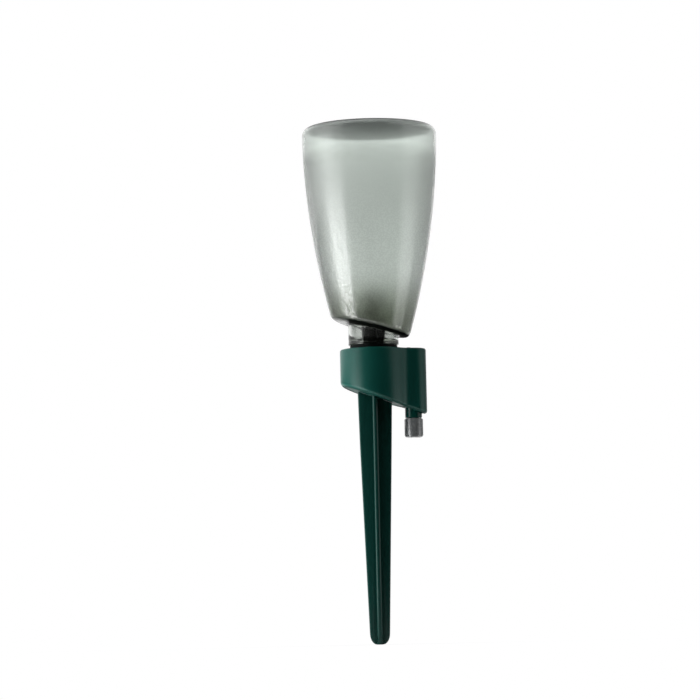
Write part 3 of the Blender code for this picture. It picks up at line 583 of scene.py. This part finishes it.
# %% Bottle
profile = [(0.0, DISH_FLOOR), (RING - RING_FOOT, DISH_FLOOR)]
profile += [(RING - RING_CREST, DISH_FLOOR + RING_CREST), (RING + RING_CREST, DISH_FLOOR + RING_CREST)]
profile += [(RING + RING_FOOT, DISH_FLOOR), (DISH_FLAT, DISH_FLOOR)]
profile += [(DISH_FLAT + 0.6, DISH_FLOOR + DISH_EASE), (DISH_RIM - 0.8, TOP - DISH_EASE), (DISH_RIM, TOP)]
profile += arc((RADIUS - EDGE, TOP - EDGE), EDGE, 90.0, 0.0, 8)
for k in range(SIDE_RINGS + 1):
    z = CURVE_START + (CUT + CUT_EDGE - CURVE_START) * k / SIDE_RINGS
    profile.append((side_radius(z), z))
profile += edge_curve(6)
profile += [(CUT_RING, CUT), (NECK + NECK_ROOT, CUT)]
profile += arc((NECK + NECK_ROOT, CUT - NECK_ROOT), NECK_ROOT, 90.0, 180.0, 4)[1:]
profile += [(NECK, NECK_RING), (NECK, SHOULDER + 0.9)]
profile += arc((NECK - LIP_EDGE, SHOULDER + LIP_EDGE), LIP_EDGE, 0.0, -90.0, 3)
profile += [(FINISH, SHOULDER), (FINISH, LIP + LIP_EDGE), (FINISH - LIP_EDGE, LIP)]
bm = lathe(profile, BOTTLE_STEPS)
for vert in bm.verts:
    r = math.hypot(vert.co.x, vert.co.y)
    if r > 1e-6:
        new_r, new_z = slant(r / MM, vert.co.z / MM, vert.co.x / r)
        vert.co = Vector((vert.co.x * new_r * MM / r, vert.co.y * new_r * MM / r, new_z * MM))
bottle = settle(bm, "frosted_bottle", frosted, "reservoir", "reservoir_bottle", crisp=50.0)

# %% Bottle wall
on_neck = []
for vert in bottle.data.vertices:
    r = math.hypot(vert.co.x, vert.co.y) / MM
    z = vert.co.z / MM
    if r < NECK + 0.1 and SHOULDER + 0.5 < z < 0.5 * TOP:
        on_neck.append(vert.index)
walls = bottle.vertex_groups.new(name="wall_share")
walls.add(range(len(bottle.data.vertices)), WALL / NECK_WALL, 'REPLACE')
walls.add(on_neck, 1.0, 'REPLACE')
wall = bottle.modifiers.new("wall", 'SOLIDIFY')
wall.thickness = NECK_WALL * MM
wall.vertex_group = walls.name
wall.offset = -1.0
wall.use_even_offset = True
print("thick neck", len(on_neck), "points")

# %% [markdown]
# ## Bottle thread
# Below the neck the bottle screws into the holder, with two ridges of half a turn each. A ridge is the
# same small outline all along a helix, so spin does it: each step turns the outline and lifts it a bit.
# The two ends are closed, and their crests are drawn in so that each ridge runs out softly.

# %% Thread ridges
THREAD_CREST = 11.5
THREAD_ROOT_HALF = 1.0
THREAD_CREST_HALF = 0.5
THREAD_START = 50.2
THREAD_LEAD = 8.0
THREAD_STEPS = 40
RUN_OUT = 4
THREAD_BITE = 0.2


def add_ridge(bm, start):
    """Spin one ridge of half a turn from a start angle."""
    root = FINISH - THREAD_BITE
    outline = [(root, -THREAD_ROOT_HALF), (THREAD_CREST, -THREAD_CREST_HALF),
               (THREAD_CREST, THREAD_CREST_HALF), (root, THREAD_ROOT_HALF)]
    points = [bm.verts.new((r * MM, 0.0, (THREAD_START + z) * MM)) for r, z in outline]
    edges = [bm.edges.new(pair) for pair in zip(points, points[1:] + points[:1])]
    bmesh.ops.rotate(bm, verts=points, cent=(0, 0, 0), matrix=Matrix.Rotation(start, 3, 'Z'))
    lift = Vector((0.0, 0.0, 0.5 * THREAD_LEAD * MM / THREAD_STEPS))
    spun = bmesh.ops.spin(bm, geom=points + edges, cent=(0, 0, 0), axis=(0, 0, 1), dvec=lift,
                          angle=math.pi, steps=THREAD_STEPS)
    last = [item for item in spun["geom_last"] if isinstance(item, bmesh.types.BMEdge)]
    bmesh.ops.edgenet_fill(bm, edges=edges)
    bmesh.ops.edgenet_fill(bm, edges=last)


bm = bmesh.new()
add_ridge(bm, 0.0)
add_ridge(bm, math.pi)
for vert in bm.verts:
    out = math.hypot(vert.co.x, vert.co.y) / MM
    turned = math.atan2(vert.co.y, vert.co.x) % math.pi
    to_end = min(turned, math.pi - turned) * THREAD_STEPS / math.pi
    if out > FINISH and to_end < RUN_OUT:
        drawn = FINISH + (THREAD_CREST - FINISH) * to_end / RUN_OUT
        vert.co = Vector((vert.co.x * drawn / out, vert.co.y * drawn / out, vert.co.z))
settle(bm, "bottle_thread", frosted, "reservoir")

# %% [markdown]
# ## Rubber and strainer finishes
# The seal is black rubber with a dull bloom. The strainer is dark moulded plastic, painted paler above
# the neck as painted light where it shows through the frosted bottle.

# %% Dark finishes
rubber, tree = finish("black_rubber")
bloom = tree.noise(2.0 * MM, 3.0)
fine = tree.noise(0.2 * MM, 1.0)
soot = tree.mix(bloom, colour(0.003, 0.004, 0.004), colour(0.007, 0.008, 0.008))
close_finish(tree, {'Base Color': soot, 'Roughness': 0.5 + 0.2 * bloom, 'Specular IOR Level': 0.12,
                    'Normal': tree.bump(fine, 0.03 * MM, 0.5)})

PAINTED_LIGHT_FROM = (0.068, 0.074)
strainer_dark, tree = finish("strainer_plastic")
streak = tree.noise(3.0 * MM, 2.0)
dark_plastic = tree.mix(streak, colour(0.003, 0.006, 0.004), colour(0.006, 0.011, 0.008))
# Above the neck the strainer is painted pale: painted light where it shows through the frosted bottle.
painted_light_pale = tree.mix(streak, colour(0.420, 0.430, 0.380), colour(0.480, 0.490, 0.430))
basket = tree.mix(tree.axis('Z').span(*PAINTED_LIGHT_FROM), dark_plastic, painted_light_pale)
close_finish(tree, {'Base Color': basket, 'Roughness': 0.45 + 0.15 * streak, 'Specular IOR Level': 0.1})
print("dark finishes", rubber.name, strainer_dark.name)

# %% Seal ring and strainer
SEAL_LOW = 57.1
SEAL_HIGH = 59.1
SEAL_OUTER = 13.2
SEAL_INNER = 10.75
OUTER_ROUND = 0.4
INNER_ROUND = 0.25

outer = SEAL_OUTER - OUTER_ROUND
inner = SEAL_INNER + INNER_ROUND
ring = arc((outer, SEAL_LOW + OUTER_ROUND), OUTER_ROUND, -90.0, 0.0, 4)
ring += arc((outer, SEAL_HIGH - OUTER_ROUND), OUTER_ROUND, 0.0, 90.0, 4)
ring += arc((inner, SEAL_HIGH - INNER_ROUND), INNER_ROUND, 90.0, 180.0, 3)
ring += arc((inner, SEAL_LOW + INNER_ROUND), INNER_ROUND, 180.0, 270.0, 3)
settle(lathe(ring, 96, closed=True), "rubber_seal", rubber, "seal", "neck_seal_ring")
soft_copy("inlet_strainer", "strainer_basket", strainer_dark, "holder")

# %% [markdown]
# ## Green plastic
# The holder, its cover, the spike and the nozzle are moulded in one deep green. Fine spark texture and
# slow flow marks keep the highlights from looking painted. Each piece has its own skin: the holder is
# satin and dull underneath, and the nozzle is polished. The holder also gets a painted highlight along
# its lower edge, and the spike's green is darkened as painted shade. One function makes all three, and
# a sum of height and side finds the slanted edge.

# %% Green finishes
UNDER_SLOPE = 0.351
UNDER = 30.05


def under_span(wire, low, high):
    """Return a smooth step between two heights in millimetres above the slanted underside."""
    return wire.span((UNDER + low) * MM, (UNDER + high) * MM)


def green_skin(gloss, depth, dull_underside_and_edge_highlight=False):
    """Return the green finish with a roughness and a darkening factor, used as painted shade on the
    spike; the holder's is dull below, with a painted highlight along its lower edge.
    """
    material, tree = finish("green_plastic")
    flow = tree.noise(14.0 * MM, 3.0)
    spark = tree.noise(0.28 * MM, 2.0)
    rough = gloss + 0.08 * spark
    # A depth below one darkens the green as painted shade.
    deep = colour(0.0030 * depth, 0.080 * depth, 0.063 * depth)
    shade = tree.mix(flow, deep, colour(0.0045 * depth, 0.098 * depth, 0.078 * depth))
    if dull_underside_and_edge_highlight:
        above = tree.axis('Z') + UNDER_SLOPE * tree.axis('X')
        rough = rough + 0.36 * (1.0 - under_span(above, 0.1, 0.7))
        # A paler green band along the lower edge is a painted highlight.
        painted_edge_highlight = under_span(above, 0.5, 0.9) * (1.0 - under_span(above, 1.4, 1.9))
        shade = tree.mix(painted_edge_highlight * (0.6 + 0.4 * flow), shade, colour(0.030, 0.160, 0.130))
    relief = tree.bump(spark, 0.03 * MM, 0.5)
    close_finish(tree, {'Base Color': shade, 'Roughness': rough, 'Normal': relief})
    return material


SATIN = 0.29
POLISHED = 0.14
# The spike's green is darkened as painted shade.
SPIKE_PAINTED_SHADE = 0.58
satin_green = green_skin(SATIN, 1.0, dull_underside_and_edge_highlight=True)
shaded_spike_green = green_skin(SATIN, SPIKE_PAINTED_SHADE)
polished_green = green_skin(POLISHED, 1.0)
print("green finishes", satin_green.name, shaded_spike_green.name, polished_green.name)

# %% Holder, cover, spike and nozzle
soft_copy("holder_shell", "holder_body", satin_green, "holder")
soft_copy("base_cover", "holder_cover", satin_green, "holder")
soft_copy("ground_spike", "soil_spike", shaded_spike_green, "holder", crisp=20.0)
soft_copy("outlet_nozzle", "drip_nozzle", polished_green, "holder")
soft_copy("air_valve", "air_mushroom", rubber, "holder")

# %% [markdown]
# ## Grey knob
# The knob is dark grey plastic with fine ribs for the fingers. It is polished more than the holder, so
# it mirrors the light on the left as one narrow streak.

# %% Knob
grey, tree = finish("grey_plastic")
mottle = tree.noise(1.5 * MM, 3.0)
ash = tree.mix(mottle, colour(0.250, 0.265, 0.270), colour(0.300, 0.315, 0.320))
close_finish(tree, {'Base Color': ash, 'Roughness': 0.22 + 0.10 * mottle, 'Specular IOR Level': 0.9,
                    'Coat Weight': 1.0, 'Coat Roughness': 0.15, 'Coat IOR': 1.6})
soft_copy("regulator_knob", "flow_knob", grey, "knob", crisp=30.0)

# %% [markdown]
# ## Pieces inside
# The gasket, ring, seat and needle are out of sight. They keep their CAD shapes and get finishes too.

# %% Hidden pieces
pale, tree = finish("needle_plastic")
haze = tree.noise(1.0 * MM, 2.0)
close_finish(tree, {'Base Color': tree.mix(haze, colour(0.62, 0.62, 0.59), colour(0.72, 0.72, 0.69)),
                    'Roughness': 0.4 + 0.1 * haze})
for node, material in (("cover_gasket", rubber), ("nozzle_o_ring", rubber), ("valve_seat", rubber),
                       ("regulator_needle", pale)):
    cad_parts[node].material_slots[0].material = material
    print(node, "keeps its shape")
